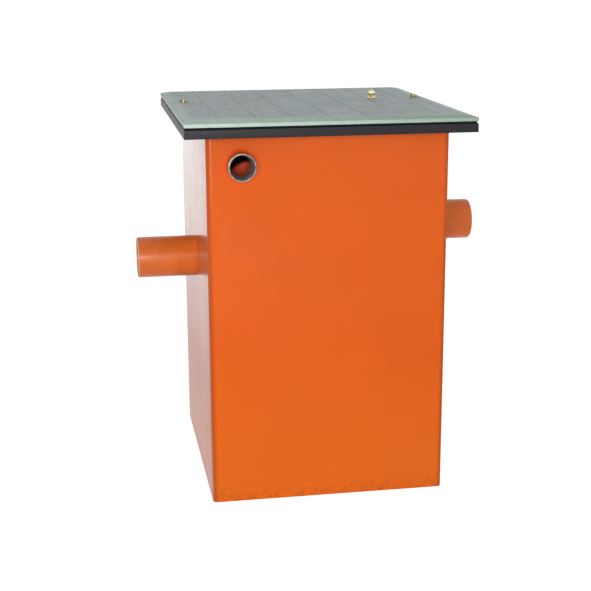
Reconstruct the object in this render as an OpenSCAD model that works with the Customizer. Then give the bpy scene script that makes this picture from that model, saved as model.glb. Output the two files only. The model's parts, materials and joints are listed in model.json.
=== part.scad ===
// Grease trap: a folded sheet tank with a pan lid, two 110 mm pipe spigots and a front vent socket.
// Millimetres. The origin is at the middle of the base, +X points to the inlet and -Y to the front.

/* [Tank] */
// Width between the outer faces of the two pipe walls
tank_width = 610; // [590:5:660]
// Depth between the outer faces of the front and back walls
tank_depth = 690; // [640:5:760]
// Height of wall that shows below the top frame
wall_height = 950; // [900:5:1050]
// Thickness of the wall sheet
wall = 4; // [3:0.5:5]
// Outside radius of the upright folds
fold_radius = 12; // [8:1:18]
// Height of the floor tray's upstand
upstand_height = 32; // [20:1:50]

/* [Top frame and lid] */
// Distance the frame and lid reach past the tank walls
overhang = 56; // [52:1:70]
// Height of the frame's outer skirt
skirt_height = 22; // [16:1:30]
// Thickness of the lid gasket
gasket_height = 5; // [4:0.5:8]
// Width of the lid gasket
gasket_width = 20; // [14:1:22]
// Thickness of the lid sheet
lid_sheet = 3; // [2:0.5:4]
// Height of the lid's upright lip
lip_height = 9; // [7:0.5:14]
// Height gained by the lid's sloping margin
bevel_height = 6; // [4:0.5:12]
// Width of the lid's sloping margin
bevel_run = 28; // [22:1:32]
// Number of panels between the lid's pressed seams
seam_panels = 8; // [4:1:10]

/* [Lid fixings] */
// Distance from the lid's sloping margin to the axis of a lid screw
screw_land = 12; // [11:0.5:14]
// Radius of the lid screws
screw_radius = 5; // [3:0.5:5]
// Height of the knob above the lid
knob_height = 22; // [20:1:30]
// Radius of the knob's ball
knob_ball_radius = 9; // [7:0.5:11]
// Distance to the right of the lid's middle at which the knob stands
knob_offset = 200; // [140:1:220]
// Distance behind the lid's middle of the row that the screws and knob stand in
fixing_row = 70; // [0:5:120]

/* [Pipes] */
// Outside diameter of the drain pipe
pipe_diameter = 110; // [100:1:112]
// Wall thickness of the drain pipe
pipe_wall = 3.2; // [2.5:0.1:4]
// Length of pipe outside the tank
spigot_length = 158; // [80:1:220]
// Height of the inlet pipe's axis
inlet_height = 656; // [650:1:700]
// Height of the outlet pipe's axis
outlet_height = 582; // [520:1:600]
// Height of the dip pipe's open lower end
dip_height = 150; // [100:5:250]
// Distance from the outlet wall to the axis of the tee
tee_offset = 101; // [98:0.5:110]

/* [Vent] */
// Outside diameter of the vent socket
vent_diameter = 69; // [66:0.5:76]
// Radius of the vent socket's screwed bore
vent_bore_radius = 28.3; // [27.5:0.1:29.5]
// Length of vent socket in front of the tank
vent_reach = 46; // [40:1:60]
// Distance from the outlet wall to the vent's axis
vent_inset = 83; // [80:1:120]
// Depth of the vent's axis below the top frame
vent_drop = 72; // [60:1:90]

/* [Strainer basket] */
// Length of the basket from front to back
basket_length = 320; // [260:5:400]
// Depth of the basket below its rim
basket_depth = 240; // [180:5:280]
// Thickness of the basket sheet
basket_sheet = 2; // [1.5:0.25:3]
// Width of the basket's slots
slot_width = 12; // [8:1:14]
// Distance between the middles of neighbouring slots, as near as they divide evenly
slot_pitch = 29; // [24:1:40]
// Diameter of the handle's rod
handle_rod = 8; // [6:0.5:9]

/* [Baffles] */
// Height of the slot below the inlet baffle
underflow_height = 160; // [120:5:200]
// Height of the inlet baffle's top edge
baffle_top = 700; // [620:5:760]
// Height of the weir's top edge
weir_top = 330; // [250:5:420]
// Gap between the outlet tee and the weir
weir_gap = 27; // [20:1:40]
// Width of the settling chamber between the weir and the inlet baffle
settling_width = 108; // [90:1:130]
// Thickness of the baffle plates
baffle_sheet = 3; // [2:0.25:4]

/* [Hidden] */
$fn = 48;

// Cuts run past the surface that they open by this much
overrun = 2;
// Gap between round pieces that fit in one another
round_gap = 0.3;
// Gap between a baffle and the bottom of its guides
slide_gap = 0.5;

// Tank
inner_x = tank_width / 2 - wall;
inner_y = tank_depth / 2 - wall;
inner_radius = fold_radius - wall;
flat_x = tank_width / 2 - fold_radius;
flat_y = tank_depth / 2 - fold_radius;

// Top frame
frame_sheet = 4;
frame_x = tank_width / 2 + overhang;
frame_y = tank_depth / 2 + overhang;
frame_top = wall_height + skirt_height;
plate_under = frame_top - frame_sheet;

// Lid
gasket_inset = 3;
return_width = 25;
lid_base = frame_top + gasket_height;
lid_height = lip_height + bevel_height;
lid_top = lid_base + lid_height;
lid_under = lid_top - lid_sheet;
bevel_slope = bevel_height / bevel_run;
bevel_sheet = lid_sheet * sqrt(1 + bevel_slope * bevel_slope);
inner_lip = lip_height + lid_sheet * bevel_slope - bevel_sheet - lid_sheet;
inner_rise = lid_height - 2 * lid_sheet - inner_lip;
inner_run = inner_rise / bevel_slope;
seam_width = 2;
seam_depth = 0.8;
seam_pitch = 2 * frame_x / seam_panels;
seam_end = 5;
seam_length = 2 * (frame_y - bevel_run - seam_end);
stiffener_width = 34;
stiffener_depth = 11;
stiffener_sheet = 2.5;
stiffener_place = frame_x / 4;
stiffener_length = 2 * (frame_y - bevel_run - return_width);

// Lid fixings
screw_place = frame_x - bevel_run - screw_land;
head_radius = screw_radius + 4;
head_height = 5;
washer_radius = screw_radius + 6;
washer_height = 2;
sleeve_wall = 2.5;
nut_radius = screw_radius + 5;
nut_height = 8;
screw_tail = 4;
screw_hole_radius = screw_radius + round_gap;
slot_cut_width = 2;
slot_cut_depth = 1.5;
knob_foot_radius = 12;
knob_foot_height = 3;
knob_stem_radius = 5;
knob_stud_radius = 4;
knob_nut_radius = 9;
knob_nut_height = 6;
knob_stud_tail = 3;
knob_ball_place = knob_height - knob_ball_radius;

// Pipes
pipe_radius = pipe_diameter / 2;
pipe_bore = pipe_radius - pipe_wall;
pipe_hole = pipe_radius + round_gap;
// The part of a pipe inside the tank is turned down, so its shoulder stops on the wall
shoulder = 1;
stub_radius = pipe_radius - shoulder;
stub_hole = stub_radius + round_gap;
stub_reach = 22;
seal_width = 18;
seal_depth = 8;
clamp_width = 16;
clamp_depth = 4;
clamp_screws = 6;
clamp_screw_radius = 3.5;
clamp_screw_height = 3;
clamp_inner = stub_hole + 1.5;
clamp_outer = clamp_inner + clamp_width;
clamp_circle = (clamp_inner + clamp_outer) / 2;

// Tee and dip pipe
socket_wall = 4.5;
socket_radius = pipe_hole + socket_wall;
tee_x = -inner_x + tee_offset;
tee_reach = 84;
tee_stop = pipe_radius + 1;
bead_radius = socket_radius + 3;
bead_height = 12;
cap_height = 6;
cap_plug = 20;

// Vent
vent_radius = vent_diameter / 2;
vent_x = -tank_width / 2 + vent_inset;
vent_z = wall_height - vent_drop;
vent_front = -tank_depth / 2 - vent_reach;
vent_tail = 12;
thread_depth = 38;
spigot_radius = 27.5;
spigot_wall = 2.2;
vent_bend = 34;
vent_rise = 24;
weld_width = 4;
vent_end = -inner_y + vent_tail;

// Baffles
guide_depth = 14;
guide_sheet = 3;
guide_slot = baffle_sheet + 2 * round_gap;
guide_width = guide_slot + 2 * guide_sheet;
guide_stop = 3;
weir_x = tee_x + bead_radius + weir_gap;
baffle_x = weir_x + baffle_sheet + settling_width;
baffle_edge = inner_y - guide_sheet - slide_gap;

// Strainer basket
rim_width = 19;
rim_sheet = 3;
basket_gap = 16;
baffle_gap = 26;
rim_drop = 13;
basket_right = inner_x - stub_reach - basket_gap - rim_width;
basket_left = baffle_x + baffle_gap + rim_width;
basket_width = basket_right - basket_left;
basket_x = (basket_right + basket_left) / 2;
rim_top = inlet_height - pipe_radius - rim_drop;
rim_under = rim_top - rim_sheet;
basket_floor = rim_under - basket_depth;
slot_margin = 26;
slot_height = basket_depth - 2 * slot_margin;
floor_slot_length = basket_length - 2 * slot_margin;

// Handle
rod_radius = handle_rod / 2;
grip_radius = rod_radius + 5.7;
grip_length = 120;
pivot_rise = grip_radius + round_gap;
pivot_z = rim_top + pivot_rise;
ear_width = 20;
ear_sheet = 3;
ear_hole = rod_radius + round_gap;
arm_gap = 3;
arm_y = basket_length / 2 + ear_sheet + arm_gap + rod_radius;
arm_length = basket_width / 2 + rim_width / 2;
arm_bend = 14;
pin_head_radius = rod_radius + 2;
pin_head_height = 2.5;
pin_head_gap = 2;

// Rails
rail_leg = 25;
rail_sheet = 3;
rail_clear = 1;

// A block with rounded upright edges, standing on z = 0
module folded_block(half_x, half_y, height, radius) {
    for (x = [-1, 1], y = [-1, 1])
        translate([x * (half_x - radius), y * (half_y - radius), 0])
            cylinder(r = radius, h = height);
    translate([-half_x, -half_y + radius, 0]) cube([2 * half_x, 2 * (half_y - radius), height]);
    translate([-half_x + radius, -half_y, 0]) cube([2 * (half_x - radius), 2 * half_y, height]);
}

// A square-cornered block, centred in plan and standing on z = 0
module plan_block(half_x, half_y, height) {
    translate([-half_x, -half_y, 0]) cube([2 * half_x, 2 * half_y, height]);
}

// A slab with sloping margins: upright up to lip, then in by run over the rise
module bevelled_block(half_x, half_y, lip, rise, run) {
    slope = sqrt(rise * rise + run * run) + overrun;
    angle = atan(rise / run);
    difference() {
        plan_block(half_x, half_y, lip + rise);
        for (side = [0, 180])
            rotate([0, 0, side]) {
                translate([half_x, 0, lip]) rotate([0, angle, 0])
                    translate([-slope, -half_y - overrun, 0])
                        cube([slope + overrun, 2 * (half_y + overrun), rise + overrun]);
                translate([0, half_y, lip]) rotate([-angle, 0, 0])
                    translate([-half_x - overrun, -slope, 0])
                        cube([2 * (half_x + overrun), slope + overrun, rise + overrun]);
            }
    }
}

// A round bar along +X from the given place
module bar_x(start, finish, radius) {
    translate([start, 0, 0]) rotate([0, 90, 0]) cylinder(r = radius, h = finish - start);
}

// A round bar along +Y from the given place
module bar_y(start, finish, radius) {
    translate([0, start, 0]) rotate([-90, 0, 0]) cylinder(r = radius, h = finish - start);
}

// A tube along +X
module tube_x(start, finish, outer, inner) {
    difference() {
        bar_x(start, finish, outer);
        bar_x(start - overrun, finish + overrun, inner);
    }
}

// A hexagonal nut with a round hole, standing on z = 0
module hex_nut(radius, height, hole) {
    difference() {
        cylinder(r = radius, h = height, $fn = 6);
        translate([0, 0, -overrun]) cylinder(r = hole, h = height + 2 * overrun);
    }
}

// A flat wall between two upright folds, with the hole for its pipe
module pipe_wall_sheet(side, height) {
    color("darkorange")
    scale([side, 1, 1])
    difference() {
        translate([inner_x, -flat_y, 0]) cube([wall, 2 * flat_y, plate_under]);
        translate([0, 0, height]) bar_x(inner_x - overrun, inner_x + wall + overrun, stub_hole);
    }
}

module wall_front() {
    color("darkorange")
    difference() {
        translate([-flat_x, -tank_depth / 2, 0]) cube([2 * flat_x, wall, plate_under]);
        translate([vent_x, 0, vent_z])
            bar_y(-inner_y - wall - overrun, -inner_y + overrun, vent_radius + round_gap);
    }
}

module wall_back() {
    color("darkorange")
    translate([-flat_x, inner_y, 0]) cube([2 * flat_x, wall, plate_under]);
}

// The upright fold that carries the sheet round one corner
module wall_fold(side, end) {
    color("darkorange")
    scale([side, end, 1]) translate([flat_x, flat_y, 0])
        rotate_extrude(angle = 90) translate([inner_radius, 0]) square([wall, plate_under]);
}

module tank_floor() {
    color("darkorange")
    difference() {
        folded_block(inner_x, inner_y, upstand_height, inner_radius + round_gap);
        translate([0, 0, wall])
            folded_block(inner_x - wall, inner_y - wall, upstand_height, inner_radius);
    }
}

module top_frame() {
    color("dimgray")
    difference() {
        translate([0, 0, wall_height]) plan_block(frame_x, frame_y, skirt_height);
        translate([0, 0, wall_height - overrun])
            plan_block(frame_x - frame_sheet, frame_y - frame_sheet, skirt_height - frame_sheet + overrun);
        translate([0, 0, wall_height]) plan_block(inner_x, inner_y, skirt_height + overrun);
        for (side = [-1, 1])
            translate([side * screw_place, fixing_row, wall_height])
                cylinder(r = screw_hole_radius, h = skirt_height + overrun);
    }
}

module lid_gasket() {
    half_x = frame_x - gasket_inset;
    half_y = frame_y - gasket_inset;
    color("black")
    translate([0, 0, frame_top])
    difference() {
        plan_block(half_x, half_y, gasket_height);
        translate([0, 0, -overrun])
            plan_block(half_x - gasket_width, half_y - gasket_width, gasket_height + 2 * overrun);
    }
}

module lid() {
    color("lightslategray")
    translate([0, 0, lid_base])
    difference() {
        bevelled_block(frame_x, frame_y, lip_height, bevel_height, bevel_run);
        // Hollow below the sloping margin, above the return flange
        translate([0, 0, lid_sheet])
            bevelled_block(frame_x - lid_sheet, frame_y - lid_sheet, inner_lip, inner_rise, inner_run);
        translate([0, 0, -overrun])
            plan_block(frame_x - return_width, frame_y - return_width, lid_sheet + 2 * overrun);
        // Pressed seams, front to back
        for (i = [1 : seam_panels - 1])
            translate([-frame_x + i * seam_pitch - seam_width / 2, -seam_length / 2, lid_height - seam_depth])
                cube([seam_width, seam_length, seam_depth + overrun]);
        for (side = [-1, 1])
            translate([side * screw_place, fixing_row, 0])
                cylinder(r = screw_hole_radius, h = lid_height + overrun);
        translate([knob_offset, fixing_row, 0])
            cylinder(r = knob_stud_radius + round_gap, h = lid_height + overrun);
    }
}

// A channel that stiffens the lid, open side down
module lid_stiffener(side) {
    color("lightslategray")
    translate([side * stiffener_place, 0, lid_under - stiffener_depth])
    difference() {
        plan_block(stiffener_width / 2, stiffener_length / 2, stiffener_depth);
        translate([-stiffener_width / 2 + stiffener_sheet, -stiffener_length / 2 - overrun, -overrun])
            cube([stiffener_width - 2 * stiffener_sheet, stiffener_length + 2 * overrun,
                stiffener_depth - stiffener_sheet + overrun]);
    }
}

module lid_screw(side) {
    shank_end = plate_under - nut_height - screw_tail;
    color("gold")
    translate([side * screw_place, fixing_row, 0])
    difference() {
        union() {
            translate([0, 0, shank_end]) cylinder(r = screw_radius, h = lid_top - shank_end);
            translate([0, 0, lid_top]) cylinder(r = washer_radius, h = washer_height);
            translate([0, 0, lid_top + washer_height])
                cylinder(r1 = head_radius, r2 = head_radius - 1.5, h = head_height);
        }
        translate([-washer_radius, -slot_cut_width / 2, lid_top + washer_height + head_height - slot_cut_depth])
            cube([2 * washer_radius, slot_cut_width, slot_cut_depth + overrun]);
    }
}

// A tube that keeps the lid sheet off the frame under its screw
module screw_sleeve(side) {
    color("silver")
    translate([side * screw_place, fixing_row, frame_top])
    difference() {
        cylinder(r = screw_hole_radius + sleeve_wall, h = lid_under - frame_top);
        translate([0, 0, -overrun]) cylinder(r = screw_hole_radius, h = lid_under - frame_top + 2 * overrun);
    }
}

module screw_nut(side) {
    color("gold")
    translate([side * screw_place, fixing_row, plate_under - nut_height])
        hex_nut(nut_radius, nut_height, screw_hole_radius);
}

module lid_knob() {
    stud_end = lid_under - knob_nut_height - knob_stud_tail;
    color("gold")
    translate([knob_offset, fixing_row, 0]) {
        translate([0, 0, stud_end]) cylinder(r = knob_stud_radius, h = lid_top - stud_end);
        translate([0, 0, lid_top]) cylinder(r = knob_foot_radius, h = knob_foot_height);
        translate([0, 0, lid_top]) cylinder(r = knob_stem_radius, h = knob_ball_place);
        translate([0, 0, lid_top + knob_ball_place]) sphere(r = knob_ball_radius);
    }
}

module knob_nut() {
    color("gold")
    translate([knob_offset, fixing_row, lid_under - knob_nut_height])
        hex_nut(knob_nut_radius, knob_nut_height, knob_stud_radius + round_gap);
}

// A pipe through one pipe wall, with a stub of the given end on the inside
module wall_pipe(side, height, stub_end) {
    color("chocolate")
    translate([0, 0, height]) scale([side, 1, 1])
        difference() {
            union() {
                bar_x(stub_end, inner_x + wall, stub_radius);
                bar_x(inner_x + wall, inner_x + wall + spigot_length, pipe_radius);
            }
            bar_x(stub_end - overrun, inner_x + wall + spigot_length + overrun, pipe_bore);
        }
}

module inlet_pipe() {
    wall_pipe(1, inlet_height, inner_x - stub_reach);
}

module outlet_pipe() {
    wall_pipe(-1, outlet_height, tee_stop - tee_x);
}

// A flat rubber ring round the pipe, on the inside of the pipe wall
module pipe_seal(side, height) {
    color("black")
    translate([0, 0, height]) scale([side, 1, 1])
        tube_x(inner_x - seal_depth, inner_x, stub_hole + seal_width, stub_hole);
}

// A steel ring that presses the seal to the wall, with its screw heads
module clamp_ring(side, height) {
    face = inner_x - seal_depth - clamp_depth;
    color("silver")
    translate([0, 0, height]) scale([side, 1, 1]) {
        tube_x(face, face + clamp_depth, clamp_outer, clamp_inner);
        for (i = [0 : clamp_screws - 1])
            rotate([(i + 1 / 2) * 360 / clamp_screws, 0, 0])
                translate([0, clamp_circle, 0])
                    bar_x(face - clamp_screw_height, face + clamp_depth / 2, clamp_screw_radius);
    }
}

module outlet_tee() {
    color("chocolate")
    translate([tee_x, 0, outlet_height])
    difference() {
        union() {
            translate([0, 0, -tee_reach]) cylinder(r = socket_radius, h = 2 * tee_reach);
            bar_x(-tee_reach, 0, socket_radius);
            for (z = [-tee_reach, tee_reach - bead_height])
                translate([0, 0, z]) cylinder(r = bead_radius, h = bead_height);
            bar_x(-tee_reach, -tee_reach + bead_height, bead_radius);
        }
        translate([0, 0, -tee_reach - overrun]) cylinder(r = pipe_hole, h = 2 * (tee_reach + overrun));
        bar_x(-tee_reach - overrun, 0, stub_hole);
    }
}

module tee_cap() {
    color("chocolate")
    translate([tee_x, 0, outlet_height + tee_reach]) {
        cylinder(r = bead_radius, h = cap_height);
        difference() {
            translate([0, 0, -cap_plug]) cylinder(r = pipe_radius, h = cap_plug + cap_height);
            translate([0, 0, -cap_plug - overrun]) cylinder(r = pipe_bore, h = cap_plug + overrun);
        }
    }
}

module dip_pipe() {
    dip_top = outlet_height - tee_stop;
    color("chocolate")
    translate([tee_x, 0, dip_height])
    difference() {
        cylinder(r = pipe_radius, h = dip_top - dip_height);
        translate([0, 0, -overrun]) cylinder(r = pipe_bore, h = dip_top - dip_height + 2 * overrun);
    }
}

module vent_socket() {
    color("gray")
    translate([vent_x, 0, vent_z])
    difference() {
        union() {
            bar_y(vent_front, vent_end, vent_radius);
            // Fillet weld on the outside of the front wall
            translate([0, -tank_depth / 2, 0]) rotate([90, 0, 0])
                cylinder(r1 = vent_radius + weld_width, r2 = vent_radius, h = weld_width);
        }
        bar_y(vent_front - overrun, vent_front + thread_depth, vent_bore_radius);
        bar_y(vent_front, vent_end + overrun, spigot_radius + round_gap);
    }
}

// A bend that takes the vent up to the air space under the lid
module vent_elbow() {
    bore = spigot_radius - spigot_wall;
    start = vent_front + thread_depth;
    bend_y = vent_end + weld_width;
    color("chocolate")
    translate([vent_x, 0, vent_z])
    difference() {
        union() {
            bar_y(start, bend_y, spigot_radius);
            translate([0, bend_y, vent_bend]) rotate([0, 90, 0])
                rotate_extrude(angle = 90) translate([vent_bend, 0]) circle(r = spigot_radius);
            translate([0, bend_y + vent_bend, vent_bend]) cylinder(r = spigot_radius, h = vent_rise);
        }
        bar_y(start - overrun, bend_y, bore);
        translate([0, bend_y, vent_bend]) rotate([0, 90, 0])
            rotate_extrude(angle = 90) translate([vent_bend, 0]) circle(r = bore);
        translate([0, bend_y + vent_bend, vent_bend]) cylinder(r = bore, h = vent_rise + overrun);
    }
}

module inlet_baffle() {
    color("silver")
    translate([baffle_x, 0, underflow_height])
        plan_block(baffle_sheet / 2, baffle_edge, baffle_top - underflow_height);
}

module weir() {
    color("silver")
    translate([weir_x, 0, wall])
        plan_block(baffle_sheet / 2, baffle_edge - wall, weir_top - wall);
}

// An upright channel on the front or back wall that a plate slides into
module plate_guide(side, place, inset, base, top, stop) {
    face = inner_y - inset;
    color("silver")
    scale([1, side, 1])
    difference() {
        translate([place - guide_width / 2, face - guide_depth, base])
            cube([guide_width, guide_depth, top - base]);
        translate([place - guide_slot / 2, face - guide_depth - overrun, base + stop])
            cube([guide_slot, guide_depth - guide_sheet + overrun, top - base + overrun]);
    }
}

module inlet_guide(side) {
    plate_guide(side, baffle_x, 0, underflow_height - guide_stop, baffle_top, guide_stop);
}

module weir_guide(side) {
    plate_guide(side, weir_x, wall, wall, weir_top, 0);
}

// An angle that carries one side of the basket's rim, from the front wall to the back wall
module basket_rail(side) {
    inner_edge = basket_width / 2 + rail_clear;
    color("silver")
    translate([basket_x, 0, rim_under]) scale([side, 1, 1]) {
        translate([inner_edge, -inner_y, -rail_sheet]) cube([rail_leg, 2 * inner_y, rail_sheet]);
        translate([inner_edge + rail_leg - rail_sheet, -inner_y, -rail_leg])
            cube([rail_sheet, 2 * inner_y, rail_leg]);
    }
}

// How many slots share a span at about the slot pitch
function slots_in(span) = floor((span - 2 * slot_margin) / slot_pitch) + 1;

// Where slot i of a span lies, from the middle of the span
function slot_place(i, span) =
    -span / 2 + slot_margin + i * (span - 2 * slot_margin) / (slots_in(span) - 1);

// A wall of the basket that faces along Y, with a row of upright slots
module slotted_wall(half_width, span, face) {
    difference() {
        translate([-half_width, face - basket_sheet, basket_floor + basket_sheet])
            cube([2 * half_width, basket_sheet, basket_depth - basket_sheet]);
        for (i = [0 : slots_in(span) - 1])
            translate([slot_place(i, span) - slot_width / 2, face - basket_sheet - overrun,
                basket_floor + slot_margin])
                cube([slot_width, basket_sheet + 2 * overrun, slot_height]);
    }
}

// The basket's front and back walls, and the two between them
module basket_end(side) {
    color("silver")
    translate([basket_x, 0, 0]) scale([1, side, 1])
        slotted_wall(basket_width / 2, basket_width, basket_length / 2);
}

module basket_flank(side) {
    color("silver")
    translate([basket_x, 0, 0]) scale([side, 1, 1]) rotate([0, 0, -90])
        slotted_wall(basket_length / 2 - basket_sheet, basket_length, basket_width / 2);
}

module basket_bottom() {
    color("silver")
    translate([basket_x, 0, basket_floor])
    difference() {
        plan_block(basket_width / 2, basket_length / 2, basket_sheet);
        for (i = [0 : slots_in(basket_width) - 1])
            translate([slot_place(i, basket_width) - slot_width / 2, -floor_slot_length / 2, -overrun])
                cube([slot_width, floor_slot_length, basket_sheet + 2 * overrun]);
    }
}

// The flat frame that the basket hangs by, with the lugs of its handle
module basket_rim() {
    half_x = basket_width / 2;
    half_y = basket_length / 2;
    color("silver")
    translate([basket_x, 0, 0]) {
        translate([0, 0, rim_under])
        difference() {
            plan_block(half_x + rim_width, half_y + rim_width, rim_sheet);
            translate([0, 0, -overrun])
                plan_block(half_x - basket_sheet, half_y - basket_sheet, rim_sheet + 2 * overrun);
        }
        for (side = [-1, 1]) handle_ear(side);
    }
}

// A round-topped lug on the basket's rim with the hole that a handle pin turns in
module handle_ear(side) {
    start = side * (basket_length / 2 + ear_sheet / 2) - ear_sheet / 2;
    translate([0, 0, pivot_z])
    difference() {
        union() {
            bar_y(start, start + ear_sheet, ear_width / 2);
            translate([-ear_width / 2, start, -pivot_rise]) cube([ear_width, ear_sheet, pivot_rise]);
        }
        bar_y(start - overrun, start + ear_sheet + overrun, ear_hole);
    }
}

module basket_handle() {
    straight = arm_length - arm_bend;
    pin_in = basket_length / 2 - pin_head_gap;
    color("silver")
    translate([basket_x, 0, pivot_z]) {
        for (side = [-1, 1])
            scale([1, side, 1]) {
                bar_y(pin_in, arm_y, rod_radius);
                bar_y(pin_in - pin_head_height, pin_in, pin_head_radius);
                translate([0, arm_y, 0]) {
                    sphere(r = rod_radius);
                    bar_x(-straight, 0, rod_radius);
                }
                translate([-straight, arm_y - arm_bend, 0]) rotate([0, 0, 90])
                    rotate_extrude(angle = 90) translate([arm_bend, 0]) circle(r = rod_radius);
            }
        translate([-arm_length, 0, 0]) bar_y(-arm_y + arm_bend, arm_y - arm_bend, rod_radius);
    }
}

module handle_grip() {
    color("black")
    translate([basket_x - arm_length, 0, pivot_z])
    difference() {
        bar_y(-grip_length / 2, grip_length / 2, grip_radius);
        bar_y(-grip_length / 2 - overrun, grip_length / 2 + overrun, rod_radius + round_gap);
    }
}

pipe_wall_sheet(-1, outlet_height);  // wall_left
pipe_wall_sheet(1, inlet_height);  // wall_right
wall_front();
wall_back();
wall_fold(-1, -1);  // fold_front_left
wall_fold(1, -1);  // fold_front_right
wall_fold(-1, 1);  // fold_back_left
wall_fold(1, 1);  // fold_back_right
tank_floor();
top_frame();
lid_gasket();
lid();
lid_stiffener(-1);  // lid_stiffener_left
lid_stiffener(1);  // lid_stiffener_right
lid_screw(-1);  // lid_screw_left
lid_screw(1);  // lid_screw_right
screw_sleeve(-1);  // screw_sleeve_left
screw_sleeve(1);  // screw_sleeve_right
screw_nut(-1);  // screw_nut_left
screw_nut(1);  // screw_nut_right
lid_knob();
knob_nut();
inlet_pipe();
pipe_seal(1, inlet_height);  // inlet_seal
clamp_ring(1, inlet_height);  // inlet_clamp_ring
outlet_pipe();
pipe_seal(-1, outlet_height);  // outlet_seal
clamp_ring(-1, outlet_height);  // outlet_clamp_ring
outlet_tee();
tee_cap();
dip_pipe();
vent_socket();
vent_elbow();
inlet_baffle();
inlet_guide(-1);  // inlet_guide_front
inlet_guide(1);  // inlet_guide_back
weir();
weir_guide(-1);  // weir_guide_front
weir_guide(1);  // weir_guide_back
basket_rail(-1);  // basket_rail_inner
basket_rail(1);  // basket_rail_outer
basket_end(-1);  // basket_wall_front
basket_end(1);  // basket_wall_back
basket_flank(-1);  // basket_wall_inner
basket_flank(1);  // basket_wall_outer
basket_bottom();
basket_rim();
basket_handle();
handle_grip();
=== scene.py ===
"""Looks of a grease trap: an orange sheet tank with a grey pan lid, two drain pipes and a vent socket."""

import json
import math

import bpy
from mathutils import Matrix, Vector


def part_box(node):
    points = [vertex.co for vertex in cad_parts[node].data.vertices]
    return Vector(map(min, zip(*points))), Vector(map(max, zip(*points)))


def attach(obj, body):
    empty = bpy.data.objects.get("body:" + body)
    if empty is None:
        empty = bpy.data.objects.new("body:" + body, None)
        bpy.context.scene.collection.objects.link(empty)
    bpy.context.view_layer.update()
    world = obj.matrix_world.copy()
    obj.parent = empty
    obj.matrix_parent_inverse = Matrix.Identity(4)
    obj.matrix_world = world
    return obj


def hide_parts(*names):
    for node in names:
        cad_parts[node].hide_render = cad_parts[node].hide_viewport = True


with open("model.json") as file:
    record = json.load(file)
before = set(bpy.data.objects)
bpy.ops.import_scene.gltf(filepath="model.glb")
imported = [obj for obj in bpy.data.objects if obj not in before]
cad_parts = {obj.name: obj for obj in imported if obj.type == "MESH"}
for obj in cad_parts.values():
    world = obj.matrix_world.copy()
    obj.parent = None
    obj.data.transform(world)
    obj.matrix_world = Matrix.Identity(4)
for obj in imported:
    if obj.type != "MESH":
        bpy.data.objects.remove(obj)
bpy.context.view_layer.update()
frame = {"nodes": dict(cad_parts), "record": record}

bl_info = {
    "name": "Grease trap looks",
    "version": (1, 0, 0),
    "blender": (4, 5, 0),
    "location": "View3D > Sidebar > Grease trap",
    "description": "Builds the looks of a grease trap round its packed frame",
    "category": "Object",
}

BODY = "tank"
SHELL = ("wall_left", "wall_right", "wall_front", "wall_back") + (
    "fold_front_left",
    "fold_front_right",
    "fold_back_left",
    "fold_back_right",
)
STEPS = 96
UP_X = Matrix.Rotation(math.radians(90), 3, "Y")
UP_Y = Matrix.Rotation(math.radians(-90), 3, "X")
UP_Z = Matrix.Identity(3)


def linear(hex_colour):
    """An sRGB hex value as linear red, green, blue and an alpha of one."""
    channels = [int(hex_colour[i : i + 2], 16) / 255 for i in (0, 2, 4)]
    return tuple(
        c / 12.92 if c <= 0.04045 else ((c + 0.055) / 1.055) ** 2.4 for c in channels
    ) + (1.0,)


def length(name, description, default):
    """A size that the user can set, in metres."""
    return bpy.props.FloatProperty(
        name=name, description=description, default=default, min=0.0, unit="LENGTH", precision=4
    )


def colour(name, description, hex_colour):
    """A colour that the user can set, from its sRGB hex value."""
    return bpy.props.FloatVectorProperty(
        name=name,
        description=description,
        default=linear(hex_colour),
        size=4,
        min=0.0,
        max=1.0,
        subtype="COLOR",
    )


class TrapSizes(bpy.types.PropertyGroup):
    """Sizes that the looks need and the boxes of the frame's nodes don't give."""

    wall: length("Wall sheet", "Thickness of the tank's wall sheet", 0.004)
    fold: length("Fold radius", "Outside radius of the upright folds", 0.012)
    tray_line: length("Tray line", "Height at which the floor tray shows through", 0.034)
    frame_sheet: length("Frame sheet", "Thickness of the top frame", 0.004)
    lid_sheet: length("Lid sheet", "Thickness of the lid", 0.003)
    lid_lip: length("Lid lip", "Height of the lid's upright lip", 0.009)
    lid_run: length("Lid margin", "Width of the lid's sloping margin", 0.028)
    lid_return: length("Lid return", "Width of the flange under the lid", 0.025)
    seam_width: length("Seam width", "Width of a pressed seam in the lid", 0.002)
    seam_depth: length("Seam depth", "Depth of a pressed seam in the lid", 0.0008)
    pipe_wall: length("Pipe wall", "Wall thickness of the drain pipes", 0.0032)
    thread_pitch: length("Thread pitch", "Pitch of the vent socket's thread", 0.002309)
    thread_length: length("Thread length", "Length of the vent socket's thread", 0.038)
    socket_bore: length("Socket bore", "Radius of the vent socket's screwed bore", 0.0283)
    shoulder: length("Pipe shoulder", "Step down of a pipe where it enters the tank", 0.001)
    elbow_radius: length("Elbow radius", "Outside radius of the vent elbow", 0.0275)
    elbow_wall: length("Elbow wall", "Wall thickness of the vent elbow", 0.0022)
    elbow_bend: length("Elbow bend", "Radius of the vent elbow's bend", 0.034)


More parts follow.
